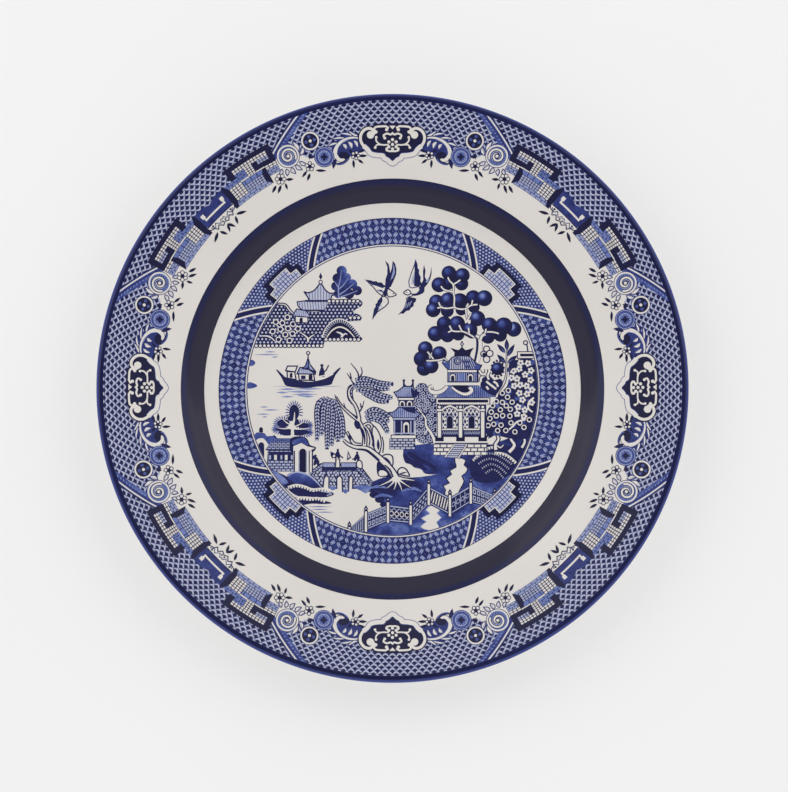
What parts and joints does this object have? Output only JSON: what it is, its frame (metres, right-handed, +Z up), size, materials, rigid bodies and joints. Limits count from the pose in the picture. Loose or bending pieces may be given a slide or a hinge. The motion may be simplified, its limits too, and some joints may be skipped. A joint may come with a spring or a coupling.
{
  "type": "dinner plate",
  "caption": "Round white china dinner plate with a broad sloping flange, a flat well on a foot ring, cobalt bands and printed blue lattice borders round a landscape.",
  "frame": {"origin": "centre of the foot ring, on the plane that it stands on", "axes": "+Z up, the axis that the plate turns about; +Y towards the top of the printed scene, so that a diner sits at -Y; +X to the diner's right"},
  "size_m": [0.26, 0.26, 0.0231],
  "materials": {
    "biscuit": "matte",
    "white_glaze": "gloss",
    "cobalt_band": "gloss",
    "cobalt_print": "gloss"
  },
  "bodies": {
    "root": {"clay_floor": "biscuit", "foot_ring": "biscuit", "clay_verge": "biscuit", "clay_flange": "biscuit", "front_glaze": "white_glaze", "back_glaze": "white_glaze", "recess_glaze": "white_glaze", "edge_band": "cobalt_band", "border_transfer_1": "cobalt_print", "border_transfer_2": "cobalt_print", "border_transfer_3": "cobalt_print", "border_transfer_4": "cobalt_print", "verge_band": "cobalt_band", "inner_border_transfer": "cobalt_print", "keyline": "cobalt_print", "centre_transfer": "cobalt_print"}
  },
  "joints": []
}
